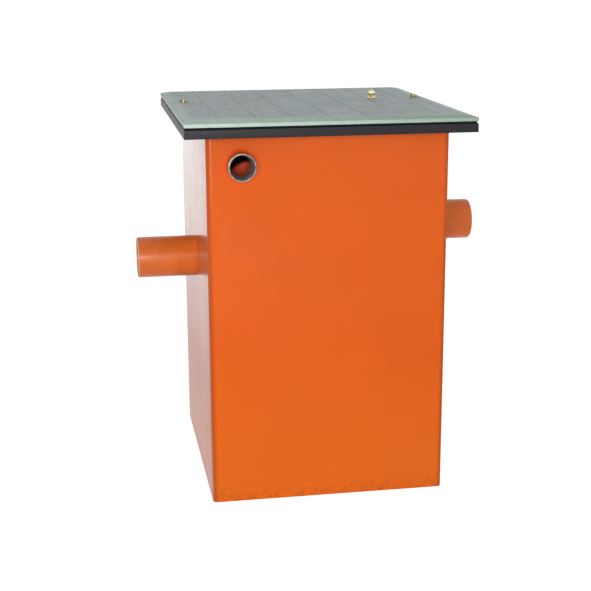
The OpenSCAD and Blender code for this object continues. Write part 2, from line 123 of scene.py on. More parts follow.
class TrapColours(bpy.types.PropertyGroup):
    """Colours of the finishes."""

    coat: colour("Powder coat", "Colour of the tank's powder coat", "F06512")
    # Colour of the painted shade along the upright folds
    fold_shade_colour: colour("Coat on folds", "Colour where the coat is thin", "D45818")
    # Colour of the lid's sloping margin, painted paler than the flat as painted light
    enamel: colour("Lid enamel", "Colour of the lid's enamel", "CFE4D8")
    # Colour of the lid's flat, painted darker than the margin as painted shade
    flat_enamel_shade: colour("Lid film", "Colour of the dull film on the lid", "BACAC5")
    frame_paint: colour("Frame paint", "Colour of the top frame's paint", "242126")
    rubber: colour("Rubber", "Colour of the gasket and seals", "0B0D0D")
    brass: colour("Brass", "Colour of the screws and the knob", "EAE2A2")
    pipe: colour("Drain pipe", "Colour of the drain pipes", "E8762C")
    pipe_cut: colour("Sawn pipe", "Colour of a pipe's sawn end", "F2D0BA")
    # The bend's inside is painted lighter and redder than the same plastic outside, as painted light
    bend_inside_painted_light: colour("Vent bend", "Colour of the plastic inside the vent", "FF6A48")
    zinc: colour("Socket zinc", "Colour of the plated vent socket", "8C8B88")
    steel: colour("Steel", "Colour of the steel inside", "B9B6B0")


def add(tree, kind, inputs=None, stops=None, **settings):
    """Adds a node with its settings, its input values or links, and its ramp stops."""
    node = tree.nodes.new(kind)
    for key, value in settings.items():
        setattr(node, key, value)
    for key, value in (inputs or {}).items():
        if isinstance(value, bpy.types.NodeSocket):
            tree.links.new(value, node.inputs[key])
        else:
            node.inputs[key].default_value = value
    if stops:
        ramp = node.color_ramp.elements
        while len(ramp) < len(stops):
            ramp.new(0.5)
        for element, (place, shade) in zip(ramp, stops):
            element.position = place
            element.color = shade if isinstance(shade, tuple) else (shade, shade, shade, 1.0)
    return node


def finish_of(name, values):
    """A new material with a Principled shader: the material, its tree, the shader and frame coordinates."""
    material = bpy.data.materials.new(name)
    material.use_nodes = True
    tree = material.node_tree
    tree.nodes.clear()
    shader = add(tree, "ShaderNodeBsdfPrincipled", values)
    add(tree, "ShaderNodeOutputMaterial", {"Surface": shader.outputs[0]})
    place = add(tree, "ShaderNodeTexCoord").outputs["Object"]
    return material, tree, shader, place


def blotches(tree, place, millimetres, stretch=(1, 1, 1), detail=3.0, roughness=0.5):
    """Noise whose blotches are about that wide, stretched along the axes by these factors."""
    scaled = add(
        tree,
        "ShaderNodeMapping",
        {"Vector": place, "Scale": [1000 / millimetres / s for s in stretch]},
    )
    noise = add(
        tree,
        "ShaderNodeTexNoise",
        {"Vector": scaled.outputs[0], "Scale": 1.0, "Detail": detail, "Roughness": roughness},
    )
    return noise.outputs["Fac"]


def bumped(tree, shader, *layers):
    """Bumps in the shader's normal, each from a height, its depth in millimetres and a strength."""
    normal = None
    for height, depth, strength in layers:
        inputs = {"Height": height, "Distance": depth / 1000, "Strength": strength}
        if normal:
            inputs["Normal"] = normal
        normal = add(tree, "ShaderNodeBump", inputs).outputs[0]
    tree.links.new(normal, shader.inputs["Normal"])


def mixed(tree, factor, first, second, blend="MIX"):
    """Two colours, mixed by a factor."""
    return add(
        tree,
        "ShaderNodeMix",
        {0: factor, 6: first, 7: second},
        data_type="RGBA",
        blend_type=blend,
    ).outputs[2]


def spread(tree, value, low, high, start=0.0, end=1.0):
    """A value's span from low to high, moved to start and end and held there."""
    return add(
        tree, "ShaderNodeMapRange", {0: value, 1: low, 2: high, 3: start, 4: end}
    ).outputs[0]


def powder_coated_steel(colours, half_x, half_y, fold):
    """Steel sheet with an orange polyester powder coat, sprayed and baked.

    The coat flows into a fine orange peel, lies thinner and duller on the folds, and shines only at a low angle.
    Painted shade darkens the folds, painted bounce light from the floor lightens the foot, and the side walls are
    painted paler with a beige soiling and painted reflection.
    """
    material, tree, shader, place = finish_of(
        "powder_coated_steel_sprayed",
        {
            "Metallic": 0.0,
            "IOR": 1.45,
            "Specular IOR Level": 0.15,
            "Coat IOR": 1.24,
            "Coat Roughness": 0.06,
        },
    )
    cloud = blotches(tree, place, 220, detail=3.0)
    streaks = blotches(tree, place, 24, stretch=(1, 1, 14), detail=4.0)
    pale = tuple(min(1.0, c * 1.03) for c in colours.coat[:3]) + (1.0,)
    deep = tuple(c * 0.97 for c in colours.coat[:3]) + (1.0,)
    coat = mixed(tree, spread(tree, cloud, 0.35, 0.65), deep, pale)
    parts = add(tree, "ShaderNodeSeparateXYZ", {0: place}).outputs
    # Painted bounce light from the floor: the coat is painted lighter and yellower towards the floor
    floor_bounce_light = spread(tree, parts[2], 0.05, 0.4, 0.6, 0.0)
    coat = mixed(tree, floor_bounce_light, coat, linear("F47C20"))
    # Mask along the upright folds, as wide as the fold and a little of the sheet beside it: the coat is thinner and
    # duller there, and its colour is painted darker there as painted shade
    on_fold = 1.0
    for part, half in ((parts[0], half_x), (parts[1], half_y)):
        reach = add(tree, "ShaderNodeMath", {0: part}, operation="ABSOLUTE").outputs[0]
        near = spread(tree, reach, half - 1.25 * fold, half - 0.6 * fold)
        on_fold = add(
            tree, "ShaderNodeMath", {0: near, 1: on_fold}, operation="MULTIPLY"
        ).outputs[0]
    # Painted shade: the folds are painted darker, in the fold shade colour
    fold_painted_shade = add(tree, "ShaderNodeMath", {0: on_fold, 1: 0.75}, operation="MULTIPLY").outputs[0]
    coat = mixed(tree, fold_painted_shade, coat, colours.fold_shade_colour[:])
    # Dust and splashes that hold on to the lowest 40 mm
    low = spread(tree, parts[2], 0.004, 0.045, 1.0, 0.0)
    splash = spread(tree, blotches(tree, place, 14, detail=5.0, roughness=0.65), 0.45, 0.7)
    dirt = add(tree, "ShaderNodeMath", {0: low, 1: splash}, operation="MULTIPLY").outputs[0]
    dirt = add(tree, "ShaderNodeMath", {0: dirt, 1: 0.45}, operation="MULTIPLY").outputs[0]
    coat = mixed(tree, dirt, coat, linear("8A4A22"))
    # The side walls are painted paler, most in the lower half: a beige soiling, and painted reflection of the white
    # surroundings
    side = add(tree, "ShaderNodeMath", {0: parts[0]}, operation="ABSOLUTE").outputs[0]
    side = spread(tree, side, half_x - 0.004, half_x - 0.001)
    dust_and_reflection = add(
        tree,
        "ShaderNodeMath",
        {0: spread(tree, parts[2], 0.5, 0.88, 0.4, 0.05), 1: side},
        operation="MULTIPLY",
    ).outputs[0]
    smears = spread(tree, blotches(tree, place, 110, stretch=(1, 1, 4), detail=5.0), 0.35, 0.65, 0.65, 1.0)
    dust_and_reflection = add(tree, "ShaderNodeMath", {0: dust_and_reflection, 1: smears}, operation="MULTIPLY").outputs[0]
    # It is paler still at the foot: splashes left to dry, and painted reflection of the white floor
    dried_splash_and_reflection = spread(tree, parts[2], 0.03, 0.2, 1.0, 0.0)
    coat = mixed(tree, dust_and_reflection, coat, mixed(tree, dried_splash_and_reflection, linear("A08C82"), linear("D8D6D4")))
    tree.links.new(coat, shader.inputs["Base Color"])
    # The clear skin of the coat is whole under the lid and scoured dull towards the floor
    gloss = add(
        tree,
        "ShaderNodeValToRGB",
        {"Fac": parts[2]},
        [(0.0, 0.2), (0.3, 0.3), (0.52, 0.58), (0.77, 0.85), (0.87, 1.0)],
    ).outputs[0]
    dull = add(
        tree,
        "ShaderNodeValToRGB",
        {"Fac": parts[2]},
        [(0.0, 0.4), (0.3, 0.38), (0.52, 0.3), (0.77, 0.17), (0.9, 0.08)],
    ).outputs[0]
    dull = add(
        tree, "ShaderNodeMath", {0: on_fold, 1: 0.3, 2: dull}, operation="MULTIPLY_ADD"
    ).outputs[0]
    tree.links.new(dull, shader.inputs["Roughness"])
    specks = blotches(tree, place, 28, stretch=(1, 2, 1), detail=5.0, roughness=0.65)
    for worn in (
        spread(tree, parts[1], -0.2, 0.2, 1.0, 0.82),
        spread(tree, smears, 0.65, 1.0, 1.0, 0.8),
        spread(tree, streaks, 0.3, 0.75, 1.0, 0.92),
        spread(tree, specks, 0.48, 0.64, 1.0, 0.74),
        spread(tree, on_fold, 0.0, 1.0, 1.0, 0.15),
    ):
        gloss = add(tree, "ShaderNodeMath", {0: gloss, 1: worn}, operation="MULTIPLY").outputs[0]
    tree.links.new(gloss, shader.inputs["Coat Weight"])
    # Orange peel is about 2 mm across, which is under a pixel here, so it is drawn at 5 mm
    bumped(
        tree,
        shader,
        (blotches(tree, place, 260, detail=1.0), 0.6, 0.5),
        (streaks, 0.06, 0.35),
        (blotches(tree, place, 5, detail=1.0), 0.02, 0.5),
    )
    return material


def enamelled_lid_sheet(colours, half_x, half_y, run, spots):
    """Pressed steel sheet with a pale grey-green stoved enamel, used outdoors.

    It shines at a low angle. Its sloping margin is painted paler than the flat as painted light, most at the front
    and the left, where the light falls; the flat is a duller bluish grey with drying marks. Olive patches in front of
    the brass fixings are painted reflection of the brass, with some staining.
    """
    material, tree, shader, place = finish_of(
        "stoved_enamel_on_pressed_steel",
        {"Metallic": 0.0, "Roughness": 0.4, "IOR": 1.36, "Specular IOR Level": 0.3},
    )
    parts = add(tree, "ShaderNodeSeparateXYZ", {0: place}).outputs
    inset = None
    # Painted light: the pale margin is widest at the front, which faces the lamps, and narrow at the back and sides
    for part, half, lean, share in ((parts[0], half_x, 0.0, 1.8), (parts[1], half_y, -0.012, 1.0)):
        off = add(tree, "ShaderNodeMath", {0: part, 1: lean}, operation="ADD").outputs[0]
        reach = add(tree, "ShaderNodeMath", {0: off}, operation="ABSOLUTE").outputs[0]
        gap = add(
            tree, "ShaderNodeMath", {0: half - lean, 1: reach}, operation="SUBTRACT"
        ).outputs[0]
        gap = add(tree, "ShaderNodeMath", {0: gap, 1: share}, operation="MULTIPLY").outputs[0]
        inset = (
            gap
            if inset is None
            else add(tree, "ShaderNodeMath", {0: inset, 1: gap}, operation="MINIMUM").outputs[0]
        )
    wander = blotches(tree, place, 60, stretch=(2, 1, 1), detail=4.0)
    ragged = add(
        tree, "ShaderNodeMath", {0: wander, 1: 0.06, 2: -0.03}, operation="MULTIPLY_ADD"
    ).outputs[0]
    inset = add(tree, "ShaderNodeMath", {0: inset, 1: ragged}, operation="ADD").outputs[0]
    shaded_flat = spread(tree, inset, 1.2 * run, 2.6 * run)
    # Painted light: the margin is palest at the left and greyer towards the right, where less light falls
    painted_light_falloff = spread(tree, parts[0], -0.8 * half_x, 0.9 * half_x, 0.0, 0.6)
    margin = mixed(tree, painted_light_falloff, colours.enamel[:], linear("92AA98"))
    # The pale lit margin against the darker flat is painted light and shade
    base = mixed(tree, shaded_flat, margin, colours.flat_enamel_shade[:])
    # Drying marks drift between a blue and a pinkish grey in blotches a hand wide
    marks = spread(tree, blotches(tree, place, 75, stretch=(1.6, 1, 1), detail=3.0), 0.35, 0.65)
    tint = mixed(tree, marks, linear("A8BECB"), linear("BEBAB7"))
    drift = add(tree, "ShaderNodeMath", {0: shaded_flat, 1: 0.7}, operation="MULTIPLY").outputs[0]
    base = mixed(tree, drift, base, tint)
    patchy = spread(tree, blotches(tree, place, 14, stretch=(1, 2.5, 1), detail=4.0), 0.35, 0.6)
    # Olive patches in front of each brass fixing, stretched towards the front: painted reflection of the brass, with
    # some staining
    for spot in spots:
        away = add(
            tree,
            "ShaderNodeVectorMath",
            {0: place, 1: (spot[0], spot[1] - 0.03, spot[2])},
            operation="SUBTRACT",
        ).outputs[0]
        away = add(
            tree,
            "ShaderNodeVectorMath",
            {0: away, 1: (1.0, 0.45, 1.0)},
            operation="MULTIPLY",
        ).outputs[0]
        gap = add(tree, "ShaderNodeVectorMath", {0: away}, operation="LENGTH").outputs["Value"]
        brass_reflection_and_stain = spread(tree, gap, 0.012, 0.05, 0.55, 0.0)
        brass_reflection_and_stain = add(tree, "ShaderNodeMath", {0: brass_reflection_and_stain, 1: patchy}, operation="MULTIPLY").outputs[0]
        base = mixed(tree, brass_reflection_and_stain, base, linear("8F9168"))
    # Dirt lies in the pressed seams, which run from front to back at an even pitch
    turns = add(
        tree, "ShaderNodeMath", {0: parts[0], 1: half_x / 4, 2: 0.5}, operation="DIVIDE"
    ).outputs[0]
    nearest = add(tree, "ShaderNodeMath", {0: turns}, operation="ROUND").outputs[0]
    away = add(tree, "ShaderNodeMath", {0: turns, 1: nearest}, operation="SUBTRACT").outputs[0]
    away = add(tree, "ShaderNodeMath", {0: away}, operation="ABSOLUTE").outputs[0]
    held = spread(tree, away, 0.016, 0.045, 0.5, 0.0)
    held = add(tree, "ShaderNodeMath", {0: held, 1: shaded_flat}, operation="MULTIPLY").outputs[0]
    held = add(
        tree,
        "ShaderNodeMath",
        {0: held, 1: spread(tree, blotches(tree, place, 50, detail=3.0), 0.3, 0.6, 0.2, 1.0)},
        operation="MULTIPLY",
    ).outputs[0]
    base = mixed(tree, held, base, linear("7C8683"))
    # Rain has left a darker mottle, drawn out along the lid's run towards the front
    rain = spread(tree, blotches(tree, place, 18, stretch=(1, 3, 1), detail=5.0), 0.45, 0.65, 0.0, 0.4)
    rain = add(
        tree,
        "ShaderNodeMath",
        {0: rain, 1: spread(tree, shaded_flat, 0.0, 1.0, 0.3, 1.0)},
        operation="MULTIPLY",
    ).outputs[0]
    base = mixed(tree, rain, base, linear("8C9894"))
    specks = spread(tree, blotches(tree, place, 9, detail=5.0, roughness=0.7), 0.56, 0.7, 0.0, 0.3)
    base = mixed(tree, specks, base, linear("76807C"))
    tree.links.new(base, shader.inputs["Base Color"])
    dull = spread(tree, blotches(tree, place, 40, stretch=(2, 1, 1), detail=4.0), 0.3, 0.7, 0.4, 0.56)
    tree.links.new(dull, shader.inputs["Roughness"])
    bumped(
        tree,
        shader,
        (blotches(tree, place, 180, detail=1.0), 1.5, 0.5),
        (blotches(tree, place, 6, detail=2.0), 0.03, 0.5),
    )
    return material


def brushed_on_frame_paint(colours):
    """Angle steel with dark metal paint, brushed on.

    It is dull, with faint brush lines along the angle and lighter scuffs in small patches.
    """
    material, tree, shader, place = finish_of(
        "brushed_on_metal_paint",
        {"Metallic": 0.0, "Roughness": 0.42, "IOR": 1.48, "Specular IOR Level": 0.25},
    )
    strokes = blotches(tree, place, 3, stretch=(22, 22, 1), detail=3.0)
    shade = mixed(
        tree,
        spread(tree, strokes, 0.3, 0.7),
        tuple(c * 0.85 for c in colours.frame_paint[:3]) + (1.0,),
        tuple(c * 1.18 for c in colours.frame_paint[:3]) + (1.0,),
    )
    rubbed = spread(tree, blotches(tree, place, 16, detail=5.0, roughness=0.65), 0.6, 0.72, 0.0, 0.45)
    shade = mixed(tree, rubbed, shade, linear("5A5660"))
    tree.links.new(shade, shader.inputs["Base Color"])
    bumped(tree, shader, (strokes, 0.05, 0.5), (blotches(tree, place, 30), 0.2, 0.3))
    return material


def moulded_rubber(colours):
    """Black rubber, moulded and cut from a strip: matt, with a fine talc bloom."""
    material, tree, shader, place = finish_of(
        "moulded_rubber",
        {"Metallic": 0.0, "Roughness": 0.72, "IOR": 1.52, "Specular IOR Level": 0.2},
    )
    bloom = spread(tree, blotches(tree, place, 12, detail=5.0, roughness=0.6), 0.5, 0.75, 0.0, 0.35)
    shade = mixed(tree, bloom, colours.rubber[:], linear("1E2021"))
    tree.links.new(shade, shader.inputs["Base Color"])
    bumped(tree, shader, (blotches(tree, place, 3, detail=2.0), 0.05, 0.4))
    return material


def weathered_brass(colours):
    """Brass screws left outdoors: dulled to olive, bright only where a driver has rubbed them."""
    material, tree, shader, place = finish_of(
        "weathered_brass", {"Metallic": 1.0, "Roughness": 0.42}
    )
    rubbed = spread(tree, blotches(tree, place, 5, detail=4.0), 0.5, 0.72)
    shade = mixed(tree, rubbed, linear("77703F"), colours.brass[:])
    tree.links.new(shade, shader.inputs["Base Color"])
    tree.links.new(spread(tree, rubbed, 0.0, 1.0, 0.5, 0.25), shader.inputs["Roughness"])
    bumped(tree, shader, (blotches(tree, place, 2.5, detail=3.0), 0.04, 0.5))
    return material


def turned_brass(colours):
    """Brass turned on a lathe and handled: bright, with tarnish in soft brown patches."""
    material, tree, shader, place = finish_of(
        "turned_brass", {"Metallic": 1.0, "Roughness": 0.2}
    )
    tarnish = spread(tree, blotches(tree, place, 7, detail=4.0), 0.5, 0.75, 0.0, 0.6)
    shade = mixed(tree, tarnish, colours.brass[:], linear("8C6A2C"))
    tree.links.new(shade, shader.inputs["Base Color"])
    tree.links.new(spread(tree, tarnish, 0.0, 0.6, 0.16, 0.4), shader.inputs["Roughness"])
    bumped(tree, shader, (blotches(tree, place, 2.5, detail=2.0), 0.02, 0.4))
    return material


def extruded_pipe(colours):
    """Orange-brown uPVC drain pipe, extruded and cooled in water.

    It has a soft sheen with fine draw lines along the pipe, a cloudy tone and pale scuffs.
    """
    material, tree, shader, place = finish_of(
        "extruded_upvc", {"Metallic": 0.0, "Roughness": 0.32, "IOR": 1.53, "Specular IOR Level": 0.32}
    )
    lines = blotches(tree, place, 2.5, stretch=(60, 1, 1), detail=3.0)
    cloud = blotches(tree, place, 45, detail=4.0)
    shade = mixed(
        tree,
        spread(tree, cloud, 0.3, 0.7),
        tuple(c * 0.86 for c in colours.pipe[:3]) + (1.0,),
        tuple(min(1.0, c * 1.1) for c in colours.pipe[:3]) + (1.0,),
    )
    scuffs = spread(tree, blotches(tree, place, 8, stretch=(3, 1, 1), detail=6.0, roughness=0.7), 0.6, 0.72, 0.0, 0.3)
    shade = mixed(tree, scuffs, shade, colours.pipe_cut[:])
    tree.links.new(shade, shader.inputs["Base Color"])
    tree.links.new(spread(tree, lines, 0.3, 0.7, 0.24, 0.36), shader.inputs["Roughness"])
    bumped(tree, shader, (lines, 0.04, 0.4), (cloud, 0.3, 0.25))
    return material


def sawn_pipe(colours):
    """The sawn end of uPVC pipe: paler and matt, with a fine saw grain."""
    material, tree, shader, place = finish_of(
        "sawn_upvc", {"Metallic": 0.0, "Roughness": 0.65, "IOR": 1.53}
    )
    grain = blotches(tree, place, 1.5, stretch=(1, 8, 1), detail=4.0)
    shade = mixed(tree, spread(tree, grain, 0.3, 0.7, 0.65, 1.0), colours.pipe[:], colours.pipe_cut[:])
    tree.links.new(shade, shader.inputs["Base Color"])
    bumped(tree, shader, (grain, 0.1, 0.6))
    return material


def zinc_plated_socket(colours):
    """A steel pipe socket, zinc plated and weathered: dull grey with darker blooms."""
    material, tree, shader, place = finish_of(
        "zinc_plated_steel", {"Metallic": 1.0, "Roughness": 0.42}
    )
    bloom = spread(tree, blotches(tree, place, 9, detail=5.0, roughness=0.6), 0.42, 0.68)
    shade = mixed(tree, bloom, colours.zinc[:], linear("565452"))
    tree.links.new(shade, shader.inputs["Base Color"])
    tree.links.new(spread(tree, bloom, 0.0, 1.0, 0.34, 0.55), shader.inputs["Roughness"])
    bumped(tree, shader, (blotches(tree, place, 3, detail=3.0), 0.05, 0.5))
    return material


def cut_thread(colours):
    """A thread cut in steel pipe: dark with cutting oil and dirt in patches."""
    material, tree, shader, place = finish_of("cut_steel_thread", {"Metallic": 1.0, "Roughness": 0.4})
    grime = spread(tree, blotches(tree, place, 5, detail=5.0, roughness=0.6), 0.38, 0.62)
    shade = mixed(tree, grime, linear("868884"), linear("464846"))
    tree.links.new(shade, shader.inputs["Base Color"])
    bumped(tree, shader, (grime, 0.08, 0.5))
    return material


def bend_with_painted_shade(colours, centre):
    """The inside of the vent bend: red-orange plastic, its upper part painted dark as painted shade."""
    material, tree, shader, place = finish_of(
        "extruded_upvc_fouled_by_vapour",
        {"Metallic": 0.0, "Roughness": 0.3, "IOR": 1.53, "Specular IOR Level": 0.3},
    )
    parts = add(tree, "ShaderNodeSeparateXYZ", {0: place}).outputs
    # Painted shade: the upper part of the bend, leaning to the left, is painted dark with a ragged edge
    lean = add(
        tree, "ShaderNodeMath", {0: parts[0], 1: -0.45, 2: parts[2]}, operation="MULTIPLY_ADD"
    ).outputs[0]
    ragged = blotches(tree, place, 6, detail=4.0)
    line = add(
        tree, "ShaderNodeMath", {0: ragged, 1: 0.006, 2: lean}, operation="MULTIPLY_ADD"
    ).outputs[0]
    level = centre[2] - 0.45 * centre[0] - 0.012
    painted_shade_and_paste = spread(tree, line, level + 0.001, level + 0.009)
    # Thread paste has turned the bend's end dark too
    paste = spread(tree, parts[1], centre[1] + 0.0005, centre[1] + 0.004, 0.85, 0.0)
    painted_shade_and_paste = add(tree, "ShaderNodeMath", {0: painted_shade_and_paste, 1: paste}, operation="MAXIMUM").outputs[0]
    shade = mixed(tree, painted_shade_and_paste, colours.bend_inside_painted_light[:], linear("0A0808"))
    tree.links.new(shade, shader.inputs["Base Color"])
    bumped(tree, shader, (ragged, 0.2, 0.4))
    return material


def oversprayed_socket(colours, mouth):
    """The outside of the socket: zinc plate with the tank's powder coat sprayed over its foot.

    The coat ends in a ragged line a little behind the mouth, where the plate shows grey.
    """
    material, tree, shader, place = finish_of(
        "powder_coat_over_zinc_plate", {"Roughness": 0.36, "Specular IOR Level": 0.3}
    )
    along = add(tree, "ShaderNodeSeparateXYZ", {0: place}).outputs[1]
    ragged = blotches(tree, place, 7, detail=4.0, roughness=0.6)
    edge = add(
        tree, "ShaderNodeMath", {0: ragged, 1: 0.02, 2: along}, operation="MULTIPLY_ADD"
    ).outputs[0]
    bare = spread(tree, edge, mouth + 0.016, mouth + 0.024, 1.0, 0.0)
    tree.links.new(mixed(tree, bare, colours.coat[:], colours.zinc[:]), shader.inputs["Base Color"])
    tree.links.new(bare, shader.inputs["Metallic"])
    bumped(tree, shader, (bare, -0.1, 0.6), (blotches(tree, place, 3, detail=3.0), 0.05, 0.5))
    return material


def brushed_steel(colours):
    """Stainless sheet with a mill brush running up it, wetted by waste water."""
    material, tree, shader, place = finish_of(
        "brushed_stainless_sheet", {"Metallic": 1.0, "Roughness": 0.34}
    )
    brush = blotches(tree, place, 1.5, stretch=(1, 1, 60), detail=3.0)
    stains = spread(tree, blotches(tree, place, 30, detail=5.0, roughness=0.6), 0.45, 0.7, 0.0, 0.6)
    shade = mixed(tree, stains, colours.steel[:], linear("7D766A"))
    tree.links.new(shade, shader.inputs["Base Color"])
    tree.links.new(spread(tree, brush, 0.3, 0.7, 0.26, 0.44), shader.inputs["Roughness"])
    bumped(tree, shader, (brush, 0.02, 0.5))
    return material


def finish(maker, *sizes):
    """The material that a maker function gives, made once and then shared."""
    key = maker.__name__
    for material in bpy.data.materials:
        if material.get("trap_finish") == key:
            return material
    material = maker(bpy.context.scene.trap_colours, *sizes)
    material["trap_finish"] = key
    return material


def eased(points, radius, steps=3):
    """A closed outline whose corners are rounded to the radius, or to the third number of a point."""
    soft = []
    for i, point in enumerate(points):
        corner = Vector(point[:2])
        before = Vector(points[i - 1][:2]) - corner
        after = Vector(points[(i + 1) % len(points)][:2]) - corner
        ease = point[2] if len(point) > 2 else radius
        reach = min(ease, 0.45 * before.length, 0.45 * after.length)
        if reach <= 0:
            soft.append(tuple(corner))
            continue
        start = corner + before.normalized() * reach
        end = corner + after.normalized() * reach
        for step in range(steps + 1):
            t = step / steps
            soft.append(tuple((1 - t) ** 2 * start + 2 * t * (1 - t) * corner + t * t * end))
    return soft


def skin(loops, closed):
    """Points and quads of a skin over loops of equal count, closed back to the first loop or not."""
    count = len(loops[0])
    points = [p for loop in loops for p in loop]
    last = len(loops) if closed else len(loops) - 1
    faces = []
    for i in range(last):
        a, b = i * count, (i + 1) % len(loops) * count
        for j in range(count):
            k = (j + 1) % count
            faces.append((a + j, a + k, b + k, b + j))
    return points, faces


def turned(outline, centre, axis, steps=STEPS, shape=None):
    """A closed outline of (along, radius) points turned about an axis through the centre.

    shape changes the radius by the angle, the place along the axis and the radius.
    """
    loops = []
    for along, radius in outline:
        loop = []
        for step in range(steps):
            angle = 2 * math.pi * step / steps
            reach = shape(angle, along, radius) if shape else radius
            spot = Vector((reach * math.cos(angle), reach * math.sin(angle), along))
            loop.append(Vector(centre) + axis @ spot)
        loops.append(loop)
    return skin(loops, True)


def around(half_x, half_y, radius, fold_steps=10, spacing=None):
    """A loop round a rectangle with rounded corners, with more points on its sides at the spacing."""
    radius = max(radius, 0.00005)
    loop = []
    for quarter, (sx, sy) in enumerate(((1, 1), (-1, 1), (-1, -1), (1, -1))):
        middle = Vector((sx * (half_x - radius), sy * (half_y - radius)))
        for step in range(fold_steps + 1):
            angle = math.pi / 2 * (quarter + step / fold_steps)
            loop.append(middle + radius * Vector((math.cos(angle), math.sin(angle))))
        if spacing:
            nx, ny = ((-1, 1), (-1, -1), (1, -1), (1, 1))[quarter]
            turn = math.pi / 2 * (quarter + 1)
            following = Vector((nx * (half_x - radius), ny * (half_y - radius)))
            target = following + radius * Vector((math.cos(turn), math.sin(turn)))
            start = loop[-1]
            parts = max(1, round((target - start).length / spacing))
            loop += [start.lerp(target, i / parts) for i in range(1, parts)]
    return loop


def swept(outline, half_x, half_y, radius, spacing=None, height=None):
    """A closed outline of (outward, height) points swept round a rounded rectangle."""
    loops = []
    for outward, up in outline:
        loop = around(half_x + outward, half_y + outward, radius + outward, spacing=spacing)
        loops.append([Vector((p.x, p.y, up)) for p in loop])
    return skin(loops, True)


def joined(*parts):
    """Several lists of points and faces as one."""
    points, faces = [], []
    for more_points, more_faces in parts:
        shift = len(points)
        points += more_points
        faces += [tuple(i + shift for i in face) for face in more_faces]
    return points, faces


def solid(name, mesh_parts, material, sharp=35.0):
    """A new object from points and faces, shaded smooth up to the sharp angle."""
    mesh = bpy.data.meshes.new(name)
    points, faces = mesh_parts
    mesh.from_pydata([tuple(p) for p in points], [], faces)
    mesh.validate()
    mesh.materials.append(material)
    obj = bpy.data.objects.new(name, mesh)
    bpy.context.scene.collection.objects.link(obj)
    smooth(obj, sharp)
    return obj


def smooth(obj, sharp=35.0):
    """Outward faces, shaded smooth up to the sharp angle."""
    bpy.context.view_layer.objects.active = obj
    obj.select_set(True)
    bpy.ops.object.mode_set(mode="EDIT")
    bpy.ops.mesh.select_all(action="SELECT")
    bpy.ops.mesh.normals_make_consistent(inside=False)
    bpy.ops.object.mode_set(mode="OBJECT")
    obj.select_set(False)
    obj.data.shade_smooth()
    obj.data.set_sharp_from_angle(angle=math.radians(sharp))


def settle(obj):
    """Turns an object's modifiers into its mesh."""
    evaluated = obj.evaluated_get(bpy.context.evaluated_depsgraph_get())
    mesh = bpy.data.meshes.new_from_object(evaluated)
    obj.modifiers.clear()
    obj.data = mesh


def bored(obj, *bores):
    """Cuts round holes: each is a centre, an axis, a radius, and its start and end along the axis."""
    cutters = []
    for centre, axis, radius, start, end in bores:
        loops = [
            [
                Vector(centre)
                + axis @ Vector((radius * math.cos(a), radius * math.sin(a), along))
                for a in (2 * math.pi * i / STEPS for i in range(STEPS))
            ]
            for along in (start, end)
        ]
        points, faces = skin(loops, False)
        faces += [tuple(range(STEPS)), tuple(range(STEPS, 2 * STEPS))]
        cutters.append(solid("bore_cutter", (points, faces), obj.data.materials[0]))
        cut = obj.modifiers.new("bore", "BOOLEAN")
        cut.operation = "DIFFERENCE"
        cut.solver = "EXACT"
        cut.object = cutters[-1]
    settle(obj)
    for cutter in cutters:
        bpy.data.objects.remove(cutter)


def placed(obj, slot, *nodes, body=BODY):
    """Puts a finished piece on its body in place of its nodes."""
    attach(obj, body)
    if nodes:
        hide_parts(*nodes)
    return obj


def middle(node):
    """The middle of a node's box."""
    low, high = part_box(node)
    return [(a + b) / 2 for a, b in zip(low, high)]


def fixing_spots():
    """Where the screws and the knob stand on the lid."""
    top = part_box("lid")[1][2]
    return [
        (middle(node)[0], middle(node)[1], top)
        for node in ("lid_screw_left", "lid_screw_right", "lid_knob")
    ]


def shell_box():
    """The box round the walls and folds of the tank."""
    lows, highs = zip(*(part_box(node) for node in SHELL))
    return [min(part) for part in zip(*lows)], [max(part) for part in zip(*highs)]


class TRAP_OT_walls(bpy.types.Operator):
    """Folded tank walls with rounded upright edges and holes for the pipes and the vent"""

    bl_idname = "trap.walls"
    bl_label = "Tank walls"

    def execute(self, context):
        sizes = context.scene.trap_sizes
        low, high = shell_box()
        line = sizes.tray_line
        section = [
            (0.0, low[2], 0.0008),
            (0.0, line - 0.004, 0),
            (-0.0004, line, 0.001),
            (0.0, line + 0.004, 0),
            (0.0, high[2], 0.0008),
            (-sizes.wall, high[2], 0.0008),
            (-sizes.wall, low[2], 0.0008),
        ]
        coat = finish(powder_coated_steel, high[0], high[1], sizes.fold)
        walls = solid(
            "tank_walls", swept(eased(section, 0), high[0], high[1], sizes.fold), coat
        )
        inlet, outlet, vent = middle("inlet_pipe"), middle("outlet_pipe"), middle("vent_socket")
        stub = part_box("inlet_pipe")[1][1] - 0.7 * sizes.shoulder
        vent_radius = (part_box("vent_socket")[1][0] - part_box("vent_socket")[0][0]) / 2
        reach = 3 * sizes.wall
        bored(
            walls,
            ((0, inlet[1], inlet[2]), UP_X, stub, high[0] - reach, high[0] + reach),
            ((0, outlet[1], outlet[2]), UP_X, stub, low[0] - reach, low[0] + reach),
            ((vent[0], 0, vent[2]), UP_Y, vent_radius - 0.004, low[1] - reach, low[1] + reach),
        )
        smooth(walls)
        placed(walls, "orange_tank", *SHELL)
        return {"FINISHED"}


